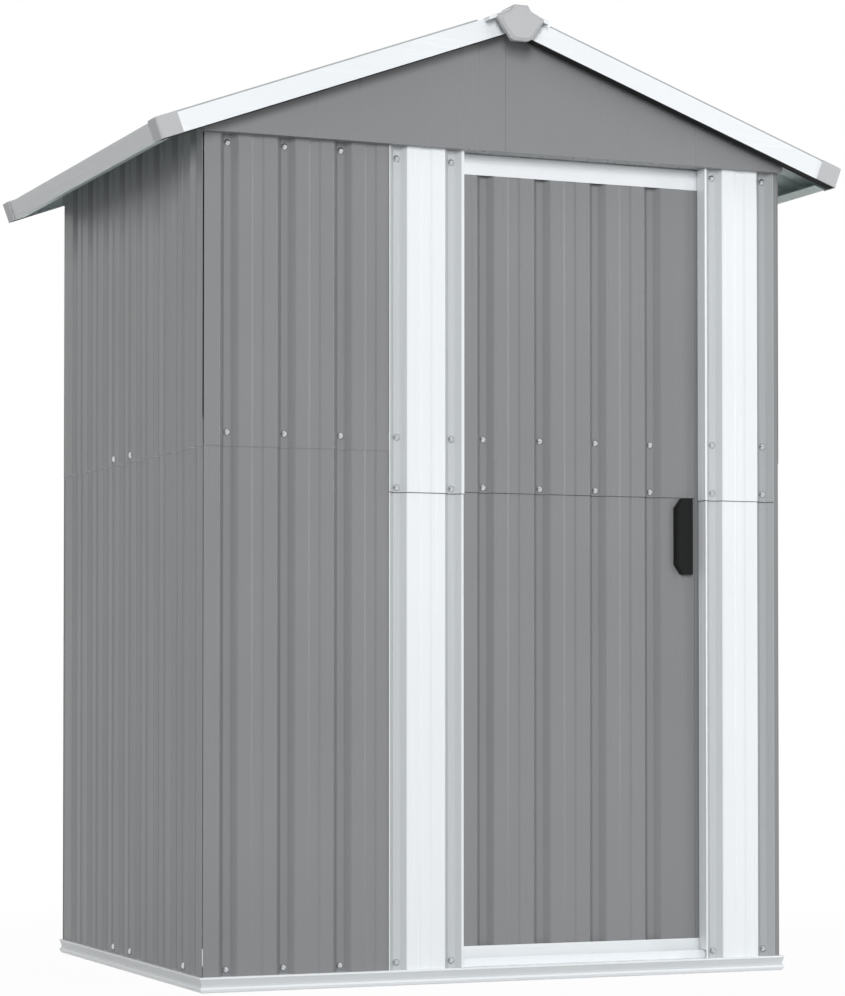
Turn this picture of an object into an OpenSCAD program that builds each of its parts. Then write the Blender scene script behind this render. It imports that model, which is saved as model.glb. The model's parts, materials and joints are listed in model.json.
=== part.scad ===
// Small garden shed of corrugated sheet steel: gable roof, white trims and one sliding door.
// Millimetres, +Z up, front wall towards -Y. The origin is on the ground, in the middle of the outline.

/* [Walls] */
// Width across the two side walls
wall_w = 1208; // [1100:4:1500]
// Depth from the front wall to the back wall
wall_d = 928; // [800:4:1300]
// Height of the wall sheets' top edge, where the gables start
wall_top = 1585; // [1450:5:1800]
// Height at which the upper wall sheets end, over the lower ones
wall_seam = 1006; // [850:2:1150]
// Height by which upper and lower wall sheets overlap
wall_lap = 50; // [30:1:90]

/* [Sheet profile] */
// Thickness of the roll-formed sheet
sheet_t = 1; // [0.6:0.1:1.6]
// Distance from one valley to the next
pitch = 112.5; // [100:0.5:125]
// Width of a valley's flat floor
valley_flat = 14; // [8:0.5:20]
// Width of the slope between a pan and a valley
slope_run = 11; // [6:0.5:15]
// Depth of a valley behind the pans
valley_depth = 13; // [8:0.5:16]
// Depth of the shallow panel in the middle of a pan
crease_depth = 2; // [0.5:0.1:3]
// Distance from the left front corner to the front wall's first valley
first_valley = 52; // [40:0.5:60]
// Distance from a front corner to a side wall's first valley
side_valley = 58; // [40:0.5:70]

/* [Front] */
// Clear width of the doorway
doorway_w = 517; // [450:1:560]
// Height at which a pilaster's upper half ends, over its lower half
pilaster_seam = 928; // [850:2:1000]
// Height by which the two halves of a pilaster overlap
pilaster_lap = 115; // [60:1:140]
// Depth of the jamb that a pilaster turns into the doorway
jamb_d = 31; // [20:0.5:31]
// Width of the open joint between the front sheets and the corners
corner_gap = 3; // [1:0.5:5]

/* [Base] */
// Height of the base rails
base_h = 29; // [20:1:40]
// Distance that the base rails stand out past the walls
base_out = 5; // [3:0.5:15]
// Thickness of the rails and posts
rail_t = 1.5; // [1:0.1:2.5]
// Height of the flange behind the wall sheets, above the base
base_flange_h = 15.5; // [10:0.5:25]

/* [Roof] */
// Slope of the roof in degrees
roof_angle = 20; // [15:0.5:25]
// Distance from a side wall to the lower edge of the eave trim
eave_out = 94.5; // [80:0.5:130]
// Distance from the front wall to the front verge trims
verge_front = 54; // [45:1:80]
// Distance from the back wall to the back verge trims
verge_back = 90; // [45:1:110]
// Height of the trims, square to the roof
trim_h = 38.5; // [34:0.5:50]
// Height of the bead along the verge trims' top edge
bead_h = 3; // [1:0.5:5]
// Thickness of the folded trims
trim_t = 1; // [0.6:0.1:1.6]
// Distance that the gables stand out past the walls
gable_out = 14; // [10:1:28]
// Height of the ridge end caps above the verge trims
hat_rise = 3; // [2.5:0.5:8]

/* [Door] */
// Distance from the base rails' top up to the door's lower edge
door_rise = 11; // [9:0.5:20]
// Distance from the overhead track down to the door's top edge
door_drop = 5; // [5:0.5:40]
// Depth of the door's front face behind the front wall
door_front = 37; // [36.5:0.5:45]
// Depth of the door's rails from front to back
door_rail_d = 20; // [17:0.5:26]
// Height of the door's top rail
door_top_rail_h = 42.5; // [24:0.5:55]
// Height of the door's bottom rail
door_bottom_rail_h = 26; // [18:0.5:40]
// Height at which the door's upper sheet ends, over the lower one
door_seam = 934; // [850:2:1000]
// Height by which the door's two sheets overlap
door_lap = 114; // [60:1:140]
// Distance from one valley of the door to the next
door_pitch = 120; // [110:0.5:125]
// Distance from the door's right edge to its last valley
door_last_valley = 104; // [100:0.5:120]

/* [Handle] */
// Width of the pull handle
handle_w = 35; // [28:1:50]
// Height of the pull handle
handle_h = 150; // [110:1:200]
// Depth of the pull handle
handle_d = 18; // [14:0.5:28]
// Distance from the door's seam down to the handle's top edge
handle_drop = 1; // [1:1:80]

/* [Hidden] */

// Colours of the painted sheet, trims and plastic
sheet_grey = "#8f9193";
trim_white = "#eef3f7";
frame_zinc = "#b4b8ba";
cap_grey = "#c4c5c7";
handle_black = "#2a2c2b";

// Fits and overruns shared by all pieces
$fn = 48;
seat_gap = 0.2;
slide_gap = 0.3;
over = 60;
lap = sheet_t + seat_gap;
edge_min = 10;

// Places that everything hangs on
roof_mid_y = (verge_front - verge_back) / 2;
y_front = roof_mid_y - wall_d / 2;
y_back = roof_mid_y + wall_d / 2;
x_wall = wall_w / 2;
y_verge_front = y_front - verge_front;
y_verge_back = y_back + verge_back;
apex_lift = 4.5;
apex_z = wall_top + apex_lift + x_wall * tan(roof_angle);
roof_run = (x_wall + eave_out) / cos(roof_angle);
sheet_low = trim_h - trim_t - seat_gap - sheet_t - valley_depth;
front_layers = 3;
frame_in = front_layers * lap + valley_depth + sheet_t + seat_gap;
base_top_flange = base_h + base_flange_h;
top_z0 = wall_top;
top_rail_h = 12;
track_z1 = top_z0 + top_rail_h - 2 * rail_t;
door_z0 = base_h + door_rise;
door_z1 = track_z1 - door_drop;

// Height of the roof at a distance from the ridge, on the layer that lies v above the trims' lower edge
function roof_z(x, v) = apex_z + v / cos(roof_angle) - x * tan(roof_angle);

// Outlines of the roll-formed sheet, as points of [along, depth]
crease_share = 0.34;
crease_run_share = 0.04;
function reversed(line) = [for (i = [len(line) - 1 : -1 : 0]) line[i]];
function shifted(line, by) = [for (p = line) p + by];
function thick(line, t) = concat(line, reversed(shifted(line, [0, t])));
function valley(c) = [
    [c - valley_flat / 2 - slope_run, 0], [c - valley_flat / 2, valley_depth],
    [c + valley_flat / 2, valley_depth], [c + valley_flat / 2 + slope_run, 0]];
function creases(a, w) = [
    [a + w * crease_share, 0], [a + w * (crease_share + crease_run_share), crease_depth],
    [a + w * (1 - crease_share - crease_run_share), crease_depth], [a + w * (1 - crease_share), 0]];
function rib_row(first, step, n) = [
    for (i = [0 : n - 1])
        let (c = first + i * step, pan = step - valley_flat - 2 * slope_run)
            each concat(valley(c), i < n - 1 ? creases(c + valley_flat / 2 + slope_run, pan) : [])];
function sheet_line(length, first, step, n) = concat([[0, 0]], rib_row(first, step, n), [[length, 0]]);
function fit_count(length, first, step) =
    floor((length - first - valley_flat / 2 - slope_run - edge_min) / step) + 1;
function even_count(length, step) = floor((length - 2 * (edge_min + slope_run) - valley_flat) / step) + 1;

module sheet(line, h, t = sheet_t) {
    linear_extrude(h) polygon(thick(line, t));
}

// Front, back and side wall places: along the wall, depth inwards, height
module on_front(x, depth, z) {
    translate([x, y_front + depth, z]) children();
}
module on_back(x, depth, z) {
    translate([x, y_back - depth, z]) mirror([0, 1, 0]) children();
}
module on_right(y, depth, z) {
    translate([x_wall - depth, y, z]) rotate([0, 0, 90]) children();
}
module on_left(y, depth, z) {
    mirror([1, 0, 0]) on_right(y, depth, z) children();
}
module along_x(length) {
    rotate([90, 0, 90]) linear_extrude(length) children();
}

// Base rails: a rolled face with a lip and a bead, a ledge under the sheets and a flange behind them
base_foot = 34;
base_lip_h = 3.5;
base_lip_out = 1;
base_bead_h = 3;
base_bead_out = 4;
base_tuck = 4;
base_tuck_h = 6;
mitre_gap = 0.1;
function base_face() =
    let (bead_top = base_tuck_h + base_bead_h, lip_z = base_h - base_lip_h) [
        [0, base_tuck_h], [0, bead_top], [base_bead_out, bead_top + base_bead_out],
        [base_lip_out, lip_z - base_lip_out], [0, lip_z]];
module base_section() {
    back = base_out + frame_in;
    under = base_h - rail_t;
    foot_x = rail_t + base_tuck * (1 - rail_t / base_tuck_h);
    translate([-base_out, 0]) polygon(concat(
        [[base_tuck, 0]], base_face(), [[0, base_h], [back, base_h], [back, base_top_flange]],
        [[back + rail_t, base_top_flange], [back + rail_t, under], [rail_t, under]],
        reversed(shifted(base_face(), [rail_t, 0])),
        [[foot_x, rail_t], [base_foot, rail_t], [base_foot, 0]]));
}
module base_rail(wall_length) {
    half = wall_length / 2;
    reach = base_out;
    inner = base_foot - base_out;
    color(trim_white) intersection() {
        translate([-half - over, 0, 0]) along_x(2 * (half + over)) base_section();
        linear_extrude(base_top_flange + over) polygon([
            [-half - reach + mitre_gap, -reach], [half + reach - mitre_gap, -reach],
            [half - inner - mitre_gap, inner], [inner + mitre_gap - half, inner]]);
    }
}
module base_front_rail() {
    on_front(0, 0, 0) base_rail(wall_w);
}
module base_back_rail() {
    on_back(0, 0, 0) base_rail(wall_w);
}
module base_right_rail() {
    on_right(roof_mid_y, 0, 0) base_rail(wall_d);
}
module base_left_rail() {
    on_left(roof_mid_y, 0, 0) base_rail(wall_d);
}

// Grey front panel left of the door, on the same pitch as the pilaster that overlaps it
lip_w = 4;
pilaster_lip = 1.5;
pilaster_edge = slope_run + pilaster_lip;
pilaster_len = pilaster_edge + valley_flat + pitch + slope_run + lip_w;
strip_min = 6;
left_room = first_valley - valley_flat / 2 - pilaster_edge;
front_pans = floor((wall_w - left_room - doorway_w - 2 * pilaster_len - strip_min) / pitch);
door_valley_x = first_valley + front_pans * pitch - x_wall;
panel_len = door_valley_x + x_wall + valley_flat / 2 + slope_run + edge_min - corner_gap;
function front_line() = sheet_line(panel_len, first_valley - corner_gap, pitch, front_pans + 1);
module front_panel_lower() {
    color(sheet_grey) on_front(corner_gap - x_wall, front_layers * lap, base_h)
        sheet(front_line(), wall_seam + wall_lap - base_h);
}
module front_panel_upper() {
    color(sheet_grey) on_front(corner_gap - x_wall, 2 * lap, wall_seam)
        sheet(front_line(), wall_top - wall_seam);
}

// White pilasters beside the doorway, each with a lip and a jamb turned inwards
jamb_left = door_valley_x - valley_flat / 2 - pilaster_edge + pilaster_len;
jamb_right = jamb_left + doorway_w;
jamb_z0 = base_top_flange + seat_gap;
jamb_z1 = top_z0 - seat_gap;
module pilaster(in, z0, z1) {
    line = sheet_line(pilaster_len - in, pilaster_edge + valley_flat / 2, pitch, 2);
    low = max(z0, jamb_z0);
    high = min(z1, jamb_z1);
    color(trim_white) translate([0, in, 0]) union() {
        translate([0, 0, z0]) sheet(line, z1 - z0);
        translate([pilaster_len - in - sheet_t, 0, low]) cube([sheet_t, jamb_d - in, high - low]);
    }
}
module pilaster_lower_half() {
    pilaster(lap, base_h, pilaster_seam + pilaster_lap);
}
module pilaster_upper_half() {
    pilaster(0, pilaster_seam, wall_top);
}
module left_pilaster_place() {
    on_front(jamb_left - pilaster_len, 0, 0) children();
}
module right_pilaster_place() {
    on_front(jamb_right + pilaster_len, 0, 0) mirror([1, 0, 0]) children();
}
module left_pilaster_lower() {
    left_pilaster_place() pilaster_lower_half();
}
module left_pilaster_upper() {
    left_pilaster_place() pilaster_upper_half();
}
module right_pilaster_lower() {
    right_pilaster_place() pilaster_lower_half();
}
module right_pilaster_upper() {
    right_pilaster_place() pilaster_upper_half();
}

// Grey strip that closes the front wall between the right pilaster and the corner
module front_corner_strip() {
    valley_x = jamb_right + pilaster_len - pilaster_edge - valley_flat / 2;
    start = valley_x - valley_flat / 2 - slope_run - edge_min;
    line = sheet_line(x_wall - corner_gap - start, valley_x - start, pitch, 1);
    color(sheet_grey) on_front(start, 2 * lap, base_h) sheet(line, wall_top - base_h);
}

// Side walls, up to the roof sheet
side_len = wall_d - 2 * (front_layers + 1) * lap;
side_first = side_valley - (front_layers + 1) * lap;
side_top = roof_z(x_wall, sheet_low) - slide_gap;
function side_line() = sheet_line(side_len, side_first, pitch, fit_count(side_len, side_first, pitch));
side_y0 = y_front + (front_layers + 1) * lap;
module right_wall_lower() {
    color(sheet_grey) on_right(side_y0, lap, base_h) sheet(side_line(), wall_seam + wall_lap - base_h);
}
module right_wall_upper() {
    color(sheet_grey) on_right(side_y0, 0, wall_seam) sheet(side_line(), side_top - wall_seam);
}
module left_wall_lower() {
    mirror([1, 0, 0]) right_wall_lower();
}
module left_wall_upper() {
    mirror([1, 0, 0]) right_wall_upper();
}

// Back wall, with its valleys spaced evenly from the middle
back_count = even_count(wall_w, pitch);
back_first = (wall_w - (back_count - 1) * pitch) / 2;
function back_line() = sheet_line(wall_w, back_first, pitch, back_count);
module back_wall_lower() {
    color(sheet_grey) on_back(-x_wall, lap, base_h) sheet(back_line(), wall_seam + wall_lap - base_h);
}
module back_wall_upper() {
    color(sheet_grey) on_back(-x_wall, 0, wall_seam) sheet(back_line(), wall_top - wall_seam);
}

// Frame inside: corner posts, mid rails behind the sheets' overlap, and top rails
post_leg = 28;
mid_rail_d = 20;
mid_rail_h = 40;
x_in = x_wall - frame_in;
module corner_posts() {
    for (sx = [0, 1], sy = [0, 1])
        color(frame_zinc)
            translate([0, roof_mid_y, 0]) mirror([sx, 0, 0]) mirror([0, sy, 0])
                translate([x_in - 2 * rail_t - seat_gap, frame_in + rail_t + seat_gap - wall_d / 2, rail_t])
                    linear_extrude(top_z0 - rail_t) union() {
                        translate([rail_t - post_leg, 0]) square([post_leg, rail_t]);
                        square([rail_t, post_leg]);
                    }
}
module mid_rail_section() {
    union() {
        square([mid_rail_d, rail_t]);
        translate([0, mid_rail_h - rail_t]) square([mid_rail_d, rail_t]);
        translate([mid_rail_d - rail_t, 0]) square([rail_t, mid_rail_h]);
    }
}
module wall_mid_rails() {
    inside = frame_in - (front_layers - 1) * lap;
    end = frame_in + rail_t + seat_gap + post_leg + seat_gap;
    mid_z = wall_seam + (wall_lap - mid_rail_h) / 2;
    color(frame_zinc) {
        on_left(y_front + end, inside, mid_z) along_x(wall_d - 2 * end) mid_rail_section();
        on_right(y_front + end, inside, mid_z) along_x(wall_d - 2 * end) mid_rail_section();
        on_back(end - x_wall, inside, mid_z) along_x(wall_w - 2 * end) mid_rail_section();
    }
}
track_gap = 6;
track_d0 = door_front - track_gap - rail_t;
track_d1 = door_front + door_rail_d + track_gap + rail_t;
end_rail_len = 2 * (x_in - rail_t - seat_gap);
module end_rail_section() {
    union() {
        translate([frame_in, 0]) square([rail_t, top_rail_h]);
        translate([frame_in, top_rail_h - rail_t]) square([track_d1 - frame_in, rail_t]);
    }
}
module front_top_rail() {
    color(frame_zinc) on_front(-end_rail_len / 2, 0, top_z0) along_x(end_rail_len) end_rail_section();
}
module back_top_rail() {
    color(frame_zinc) on_back(-end_rail_len / 2, 0, top_z0) along_x(end_rail_len) end_rail_section();
}
side_rail_leg = 25;
module right_top_rail() {
    rail_h = side_top - top_z0 - slide_gap;
    length = wall_d - 2 * frame_in;
    leg_start = track_d1 + slide_gap;
    color(frame_zinc) union() {
        translate([x_in - rail_t, y_front + frame_in, top_z0]) cube([rail_t, length, rail_h]);
        translate([x_in - side_rail_leg, y_front + leg_start, top_z0])
            cube([side_rail_leg, wall_d - 2 * leg_start, rail_t]);
    }
}
module left_top_rail() {
    mirror([1, 0, 0]) right_top_rail();
}

// Door tracks: a channel overhead, and a box on the ground with a guide rib on top
track_rib_h = 8;
track_leg_h = 11;
ground_track_len = 2 * (x_wall - base_foot + base_out - slide_gap);
door_mid_d = door_front + door_rail_d / 2;
module door_top_track() {
    track_top = top_z0 + top_rail_h - rail_t;
    color(frame_zinc) on_front(-end_rail_len / 2, 0, track_top - track_leg_h) along_x(end_rail_len) union() {
        translate([track_d0, 0]) square([rail_t, track_leg_h]);
        translate([track_d1 - rail_t, 0]) square([rail_t, track_leg_h]);
        translate([track_d0, track_leg_h - rail_t]) square([track_d1 - track_d0, rail_t]);
    }
}
module door_bottom_track() {
    start = base_foot - base_out + slide_gap;
    width = track_d1 - start;
    color(trim_white) on_front(-ground_track_len / 2, 0, 0) along_x(ground_track_len) union() {
        translate([start, 0]) difference() {
            square([width, base_h]);
            translate([rail_t, -over]) square([width - 2 * rail_t, over + base_h - rail_t]);
        }
        translate([door_mid_d - rail_t / 2, base_h]) square([rail_t, track_rib_h]);
    }
}

// Gables: two flat sheets that meet under the ridge, each folded back over the wall and round its corner
module gable_half() {
    top = -slide_gap;
    corner_z = roof_z(x_wall, sheet_low) + top;
    return_d = gable_out + (front_layers + 1) * lap - seat_gap;
    union() {
        rotate([90, 0, 0]) translate([0, 0, -sheet_t]) linear_extrude(sheet_t) polygon([
            [seat_gap, wall_top], [x_wall, wall_top],
            [x_wall, corner_z], [seat_gap, roof_z(seat_gap, sheet_low) + top]]);
        translate([seat_gap, 0, wall_top])
            cube([x_wall - lap - seat_gap, gable_out + frame_in - seat_gap, sheet_t]);
        translate([x_wall - sheet_t, 0, wall_top]) cube([sheet_t, return_d, corner_z - wall_top]);
    }
}
module gable_pair() {
    color(sheet_grey) for (side = [0, 1]) mirror([side, 0, 0]) gable_half();
}
module gable_front() {
    translate([0, y_front - gable_out, 0]) gable_pair();
}
module gable_back() {
    translate([0, y_back + gable_out, 0]) mirror([0, 1, 0]) gable_pair();
}

// Ridge beam between the gables
beam_w = 40;
beam_h = 40;
module ridge_beam() {
    inset = gable_out - sheet_t - slide_gap;
    length = wall_d + 2 * inset;
    beam_top = roof_z(beam_w / 2, sheet_low) - slide_gap;
    color(frame_zinc) translate([-beam_w / 2, y_front - inset, beam_top - beam_h]) difference() {
        cube([beam_w, length, beam_h]);
        translate([rail_t, -over, -over]) cube([beam_w - 2 * rail_t, length + 2 * over, beam_h + over - rail_t]);
    }
}

// Roof: everything on one slope is drawn along the slope and turned to it
module right_slope() {
    translate([0, 0, apex_z]) rotate([0, roof_angle, 0]) children();
}
roof_y0 = y_verge_front + trim_t + slide_gap;
roof_len = y_verge_back - y_verge_front - 2 * (trim_t + slide_gap);
roof_count = even_count(roof_len, pitch);
roof_first = (roof_len - (roof_count - 1) * pitch) / 2;
ridge_open = 5;
module roof_panel_right() {
    line = shifted(sheet_line(roof_len, roof_first, pitch, roof_count), [roof_y0, sheet_low]);
    color(sheet_grey) right_slope() translate([ridge_open, 0, 0])
        along_x(roof_run - trim_t - slide_gap - ridge_open) polygon(thick(line, sheet_t));
}
module roof_panel_left() {
    mirror([1, 0, 0]) roof_panel_right();
}
trim_top_leg = 36;
trim_low_leg = 24;
module trim_section() {
    union() {
        square([trim_t, trim_h]);
        square([trim_low_leg, trim_t]);
        translate([0, trim_h - trim_t]) square([trim_top_leg, trim_t]);
    }
}
module eave_trim_right() {
    start = y_verge_front + trim_top_leg + slide_gap;
    length = y_verge_back - y_verge_front - 2 * (trim_top_leg + slide_gap);
    color(trim_white) right_slope() translate([roof_run, start + length, 0]) mirror([1, 0, 0])
        rotate([90, 0, 0]) linear_extrude(length) trim_section();
}
module eave_trim_left() {
    mirror([1, 0, 0]) eave_trim_right();
}
bead_t = 1.6;
module verge_right() {
    bead_start = (hat_foot + hat_flange + slide_gap) / cos(roof_angle);
    bead_end = cap_u - cap_len - slide_gap;
    union() {
        difference() {
            right_slope() translate([-over, 0, 0]) along_x(roof_run + over) trim_section();
            translate([mitre_gap - 2 * over, -over, apex_z - over])
                cube([2 * over, trim_top_leg + 2 * over, trim_h + 2 * over]);
        }
        right_slope() translate([bead_start, 0, trim_h - trim_t])
            cube([bead_end - bead_start, bead_t, trim_t + bead_h]);
    }
}
module verge_pair() {
    color(trim_white) for (side = [0, 1]) mirror([side, 0, 0]) verge_right();
}
module verge_trims_front() {
    translate([0, y_verge_front, 0]) verge_pair();
}
module verge_trims_back() {
    translate([0, y_verge_back, 0]) mirror([0, 1, 0]) verge_pair();
}

// Plastic corner caps over the ends of the trims
cap_t = 2.8;
cap_len = 45;
cap_round = 5;
cap_u = roof_run + seat_gap + cap_t;
module cap_outline() {
    short = cap_len - cap_round;
    translate([-cap_len, cap_round]) square([cap_len, short]);
    translate([-cap_len, 0]) square([short, cap_len]);
    translate([-cap_round, cap_round]) circle(cap_round);
}
module corner_cap() {
    color(cap_grey) right_slope() translate([cap_u, -cap_t, 0]) difference() {
        linear_extrude(trim_h + seat_gap + cap_t) cap_outline();
        translate([-cap_t - over, cap_t, -over]) cube([over, over, over + trim_h + seat_gap]);
    }
}
module roof_corner_caps() {
    for (side = [0, 1]) mirror([side, 0, 0]) {
        translate([0, y_verge_front - seat_gap, 0]) corner_cap();
        translate([0, y_verge_back + seat_gap, 0]) mirror([0, 1, 0]) corner_cap();
    }
}

// Ridge cap: a folded hat along the ridge, and a moulded cap on each end
end_cap_w = 96;
end_cap_h = 68.5;
end_cap_reach = 38;
end_cap_bevel = 5;
end_cap_plate = 9;
end_cap_hood = 48;
end_cap_shares = [[0.145, 0], [0.225, 0.18], [0.5, 0.365], [0.485, 0.44], [0.225, 0.945], [0.15, 1]];
bevel_share = 0.84;
hub_w = 20;
top_z = roof_z(0, trim_h) + hat_rise;
hat_top = roof_z(0, trim_h) + seat_gap;
hat_half = 10.5;
hat_foot = 46;
hat_flange = 16;
function hat_line() = [
    for (side = [-1, 1])
        let (right = [
            [hat_half, hat_top], [hat_foot, roof_z(hat_foot, trim_h) + seat_gap],
            [hat_foot + hat_flange, roof_z(hat_foot + hat_flange, trim_h) + seat_gap]])
            each side > 0 ? right : [for (p = reversed(right)) [-p[0], p[1]]]];
module ridge_cap() {
    y0 = y_verge_front - end_cap_reach + end_cap_bevel + end_cap_plate;
    y1 = y_verge_back + end_cap_reach - end_cap_bevel - end_cap_plate;
    color(trim_white) translate([0, y1, 0]) rotate([90, 0, 0]) linear_extrude(y1 - y0)
        polygon(thick(hat_line(), sheet_t));
}
function end_cap_line() = [
    for (side = [1, -1])
        let (right = [for (s = end_cap_shares) [s[0] * end_cap_w, -s[1] * end_cap_h]])
            each side > 0 ? right : [for (p = reversed(right)) [-p[0], p[1]]]];
module end_cap_shape(h, taper = 1) {
    mid = end_cap_h / 2;
    translate([0, 0, top_z - mid]) rotate([90, 0, 0])
        linear_extrude(h, scale = taper) polygon(shifted(end_cap_line(), [0, mid]));
}
module end_cap() {
    plate_y = -end_cap_reach + end_cap_bevel + end_cap_plate;
    hub_z = top_z - end_cap_h * (1 - (1 - bevel_share) / 2);
    color(cap_grey) union() {
        translate([0, plate_y - end_cap_plate, 0]) end_cap_shape(end_cap_bevel, bevel_share);
        translate([0, plate_y, 0]) end_cap_shape(end_cap_plate);
        difference() {
            intersection() {
                translate([0, plate_y + end_cap_hood, 0]) end_cap_shape(end_cap_hood);
                translate([-end_cap_w, plate_y, top_z - end_cap_shares[1][1] * end_cap_h])
                    cube([2 * end_cap_w, end_cap_hood, end_cap_h]);
            }
            translate([0, plate_y + end_cap_hood + over, sheet_t + seat_gap]) rotate([90, 0, 0])
                linear_extrude(end_cap_hood + 2 * over) polygon(hat_line());
        }
        translate([-hub_w / 2, plate_y, hub_z])
            cube([hub_w, -plate_y - seat_gap, roof_z(hub_w / 2, trim_h) - hub_z]);
    }
}
module ridge_end_cap_front() {
    translate([0, y_verge_front, 0]) end_cap();
}
module ridge_end_cap_back() {
    translate([0, y_verge_back, 0]) mirror([0, 1, 0]) end_cap();
}

// Door: two overlapping sheets in a frame of channels, with plastic glides and a pull handle
door_behind_left = 15;
door_behind_right = 8;
door_x0 = jamb_left - door_behind_left;
door_x1 = jamb_right + door_behind_right;
door_w = door_x1 - door_x0;
stile_w = 12;
door_count = fit_count(door_w, door_last_valley, door_pitch);
function door_line() =
    let (inset = sheet_t + seat_gap, first = door_w - door_last_valley - (door_count - 1) * door_pitch - inset)
        sheet_line(door_w - 2 * inset, first, door_pitch, door_count);
door_sheet_d = door_front + sheet_t + seat_gap;
sheet_z0 = door_z0 + sheet_t;
sheet_z1 = door_z1 - sheet_t - seat_gap;
module door_sheet_lower() {
    color(sheet_grey) on_front(door_x0 + sheet_t + seat_gap, door_sheet_d + lap, sheet_z0)
        sheet(door_line(), door_seam + door_lap - sheet_z0);
}
module door_sheet_upper() {
    color(sheet_grey) on_front(door_x0 + sheet_t + seat_gap, door_sheet_d, door_seam)
        sheet(door_line(), sheet_z1 - door_seam);
}
module door_channel(h) {
    square([door_rail_d, sheet_t]);
    square([sheet_t, h]);
    translate([door_rail_d - sheet_t, 0]) square([sheet_t, h]);
}
module door_bottom_rail() {
    color(trim_white) on_front(door_x0, door_front, door_z0) along_x(door_w) door_channel(door_bottom_rail_h);
}
module door_top_rail() {
    color(trim_white) on_front(door_x0, door_front, door_z1) mirror([0, 0, 1])
        along_x(door_w) door_channel(door_top_rail_h);
}
module stile() {
    z0 = door_z0 + door_bottom_rail_h + seat_gap;
    z1 = door_z1 - door_top_rail_h - seat_gap;
    translate([0, 0, z0]) linear_extrude(z1 - z0) union() {
        square([sheet_t, door_rail_d]);
        square([stile_w, sheet_t]);
        translate([0, door_rail_d - sheet_t]) square([stile_w, sheet_t]);
    }
}
module door_stiles() {
    color(sheet_grey) {
        on_front(door_x0, door_front, 0) stile();
        on_front(door_x1, door_front, 0) mirror([1, 0, 0]) stile();
    }
}
glide_len = 40;
glide_in = 50;
glide_w = 14;
module door_glides() {
    shoe_z0 = base_h + slide_gap;
    guide_z1 = track_z1 - slide_gap;
    guide_d0 = track_d0 + rail_t + slide_gap;
    guide_d1 = track_d1 - rail_t - slide_gap;
    color(handle_black) for (x = [door_x0 + glide_in, door_x1 - glide_in - glide_len]) {
        on_front(x, door_mid_d, shoe_z0) difference() {
            translate([0, -glide_w / 2, 0]) cube([glide_len, glide_w, door_z0 - shoe_z0]);
            translate([-over, -rail_t / 2 - slide_gap, -over])
                cube([glide_len + 2 * over, rail_t + 2 * slide_gap, over + track_rib_h]);
        }
        on_front(x, guide_d0, door_z1) cube([glide_len, guide_d1 - guide_d0, guide_z1 - door_z1]);
    }
}
handle_gap = 16;
handle_corner_w = 14;
handle_corner_h = 19;
handle_bevel = 4;
handle_wall = 3;
handle_pocket_w = 23;
handle_pocket_h = 112;
module handle_face() {
    half = handle_h / 2;
    low = half - handle_corner_h;
    polygon([
        [0, -low], [handle_corner_w, -half], [handle_w, -half],
        [handle_w, half], [handle_corner_w, half], [0, low]]);
}
module handle_plan() {
    polygon([
        [0, 0], [handle_w, 0], [handle_w, -handle_d], [handle_bevel, -handle_d], [0, handle_bevel - handle_d]]);
}
module door_handle() {
    back = door_sheet_d + lap;
    x0 = jamb_right - handle_gap - handle_w;
    handle_z = door_seam - handle_drop - handle_h / 2;
    color(handle_black) on_front(x0, back, handle_z) difference() {
        intersection() {
            rotate([90, 0, 0]) linear_extrude(handle_d) handle_face();
            translate([0, 0, -handle_h / 2]) linear_extrude(handle_h) handle_plan();
        }
        translate([handle_w - handle_pocket_w, handle_wall - handle_d, -handle_pocket_h / 2])
            cube([handle_pocket_w + over, handle_d - 2 * handle_wall, handle_pocket_h]);
    }
}

base_front_rail();
base_back_rail();
base_left_rail();
base_right_rail();
door_bottom_track();
front_panel_lower();
front_panel_upper();
front_corner_strip();
left_pilaster_lower();
left_pilaster_upper();
right_pilaster_lower();
right_pilaster_upper();
left_wall_lower();
left_wall_upper();
right_wall_lower();
right_wall_upper();
back_wall_lower();
back_wall_upper();
corner_posts();
wall_mid_rails();
front_top_rail();
back_top_rail();
left_top_rail();
right_top_rail();
door_top_track();
gable_front();
gable_back();
ridge_beam();
roof_panel_left();
roof_panel_right();
ridge_cap();
eave_trim_left();
eave_trim_right();
verge_trims_front();
verge_trims_back();
roof_corner_caps();
ridge_end_cap_front();
ridge_end_cap_back();
door_sheet_lower();
door_sheet_upper();
door_top_rail();
door_bottom_rail();
door_stiles();
door_glides();
door_handle();
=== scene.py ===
# %% [markdown]
# This lesson dresses a small garden shed of corrugated sheet steel. The solid model already holds every
# sheet, trim and rail at its real size, so Blender adds what a solid model leaves out: the soft radius of
# each fold, the screws, the paint, zinc and plastic, and the light. Everything is in metres, in the solid
# model's frame.

# %% Load the frame and keep its box
import json
import math

import bmesh
import bpy
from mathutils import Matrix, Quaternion, Vector

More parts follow.
